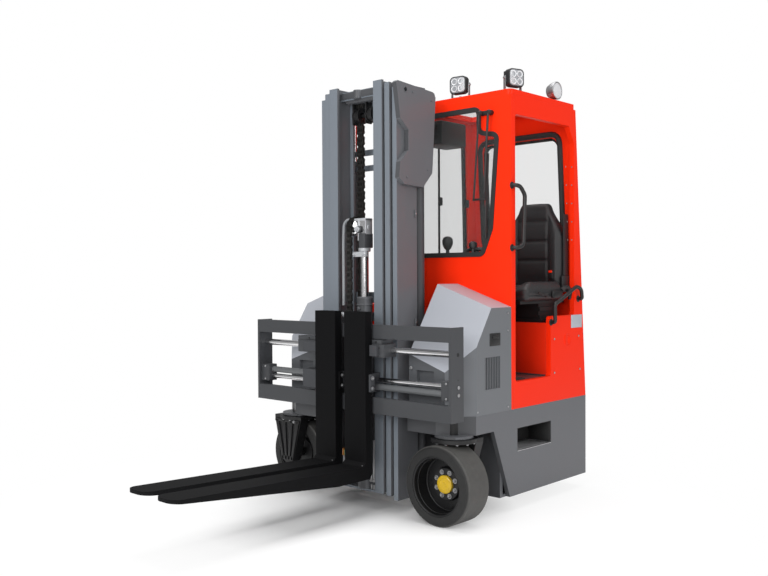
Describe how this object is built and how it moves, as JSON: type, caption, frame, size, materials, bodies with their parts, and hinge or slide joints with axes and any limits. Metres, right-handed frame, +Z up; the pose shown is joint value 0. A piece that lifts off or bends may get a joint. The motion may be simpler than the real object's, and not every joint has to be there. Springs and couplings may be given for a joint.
{
  "type": "multidirectional forklift",
  "caption": "Multidirectional forklift with a narrow side cab, three-stage mast, wide fork positioner and turning wheels.",
  "frame": {"origin": "on the floor, in the middle of the whole truck's length and width", "axes": "+X to the operator's door side, -Y the way the forks point, +Z up"},
  "size_m": [1.556, 2.575, 2.3475],
  "materials": {
    "red_paint": "semi-gloss bright red powder coat",
    "grey_paint": "semi-gloss mid grey paint",
    "dark_paint": "satin dark grey paint",
    "fork_black": "satin black paint on forged steel",
    "cast_black": "black painted casting",
    "chrome_rod": "ground and chromed rod",
    "tyre_rubber": "solid rubber tyre",
    "glass": "clear safety glass",
    "seal_rubber": "black window rubber",
    "seat_vinyl": "black vinyl",
    "black_plastic": "moulded black plastic",
    "steel_chain": "oiled leaf chain",
    "battery_case": "painted steel battery box"
  },
  "bodies": {
    "truck": {"chassis": "grey_paint", "wing_right": "grey_paint", "wing_left": "grey_paint", "battery_hood": "red_paint", "battery": "battery_case", "cab_front": "red_paint", "cab_door_side": "red_paint", "cab_left_side": "red_paint", "cab_rear": "red_paint", "cab_roof": "red_paint", "cab_floor": "dark_paint", "cab_glass": "glass", "window_seals": "seal_rubber", "seat_cushion": "seat_vinyl", "seat_back": "seat_vinyl", "seat_base": "black_plastic", "console": "black_plastic", "grab_rails": "black_plastic", "work_lamps": "black_plastic", "wiper": "black_plastic"},
    "mast": {"mast_outer": "grey_paint", "lift_cylinders": "dark_paint", "mast_cover": "grey_paint"},
    "middle_stage": {"mast_middle": "grey_paint", "lift_rods": "chrome_rod"},
    "inner_stage": {"mast_inner": "grey_paint", "free_lift_cylinder": "grey_paint", "mast_chain": "steel_chain"},
    "lift_head": {"free_lift_rod": "chrome_rod", "carriage_chain": "steel_chain"},
    "carriage": {"carriage": "dark_paint", "guide_rods": "chrome_rod"},
    "fork_right": {"fork_right": "fork_black"},
    "fork_left": {"fork_left": "fork_black"},
    "tilt_cylinder": {"tilt_cylinders": "dark_paint"},
    "tilt_rod": {"tilt_rods": "chrome_rod"},
    "leg_right": {"front_leg_right": "cast_black"},
    "leg_left": {"front_leg_left": "cast_black"},
    "wheel_right": {"front_tyre_right": "tyre_rubber", "front_rim_right": "cast_black"},
    "wheel_left": {"front_tyre_left": "tyre_rubber", "front_rim_left": "cast_black"},
    "drive_unit": {"drive_unit": "cast_black"},
    "drive_wheel": {"drive_tyre": "tyre_rubber", "drive_rim": "cast_black"}
  },
  "joints": [
    {"name": "mast_tilt", "type": "hinge", "parent": "truck", "child": "mast", "pos_m": [0, 0.3, 0.13], "axis": [-1, 0, 0], "range_deg": [-2, 3]},
    {"name": "tilt_cylinder_swing", "type": "hinge", "parent": "truck", "child": "tilt_cylinder", "pos_m": [0, 0.48, 0.64], "axis": [-1, 0, 0], "range_deg": [-3.75, 5.62]},
    {"name": "tilt_rod_slide", "type": "slide", "parent": "tilt_cylinder", "child": "tilt_rod", "axis": [0, -0.6192, 0.7853], "range_m": [-0.02393, 0.01596]},
    {"name": "middle_lift", "type": "slide", "parent": "mast", "child": "middle_stage", "axis": [0, 0, 1], "range_m": [0, 1.6]},
    {"name": "inner_lift", "type": "slide", "parent": "middle_stage", "child": "inner_stage", "axis": [0, 0, 1], "range_m": [0, 1.6]},
    {"name": "carriage_lift", "type": "slide", "parent": "inner_stage", "child": "carriage", "axis": [0, 0, 1], "range_m": [-0.165, 1.2]},
    {"name": "lift_head_slide", "type": "slide", "parent": "inner_stage", "child": "lift_head", "axis": [0, 0, 1], "range_m": [-0.0825, 0.6]},
    {"name": "fork_right_shift", "type": "slide", "parent": "carriage", "child": "fork_right", "axis": [1, 0, 0], "range_m": [-0.02, 0.37]},
    {"name": "fork_left_shift", "type": "slide", "parent": "carriage", "child": "fork_left", "axis": [1, 0, 0], "range_m": [-0.34, 0.02]},
    {"name": "steer_right", "type": "hinge", "parent": "truck", "child": "leg_right", "pos_m": [0.576, 0.16, 0.43], "axis": [0, 0, 1], "range_deg": [-5, 95]},
    {"name": "steer_left", "type": "hinge", "parent": "truck", "child": "leg_left", "pos_m": [-0.576, 0.16, 0.43], "axis": [0, 0, 1], "range_deg": [-5, 95]},
    {"name": "steer_drive", "type": "hinge", "parent": "truck", "child": "drive_unit", "pos_m": [0, 0.96, 0.49], "axis": [0, 0, 1], "range_deg": [-95, 95]},
    {"name": "wheel_right_spin", "type": "hinge", "parent": "leg_right", "child": "wheel_right", "pos_m": [0.576, 0.0985, 0.202], "axis": [0, 1, 0], "continuous": true},
    {"name": "wheel_left_spin", "type": "hinge", "parent": "leg_left", "child": "wheel_left", "pos_m": [-0.576, 0.2215, 0.202], "axis": [0, 1, 0], "continuous": true},
    {"name": "drive_wheel_spin", "type": "hinge", "parent": "drive_unit", "child": "drive_wheel", "pos_m": [0, 0.96, 0.16], "axis": [0, 1, 0], "continuous": true}
  ],
  "couplings": [
    {"joint": "tilt_cylinder_swing", "follows": "mast_tilt", "ratio": 1.873},
    {"joint": "tilt_rod_slide", "follows": "mast_tilt", "m_per_rad": -0.45712},
    {"joint": "inner_lift", "follows": "middle_lift", "ratio": 1},
    {"joint": "lift_head_slide", "follows": "carriage_lift", "ratio": 0.5}
  ]
}
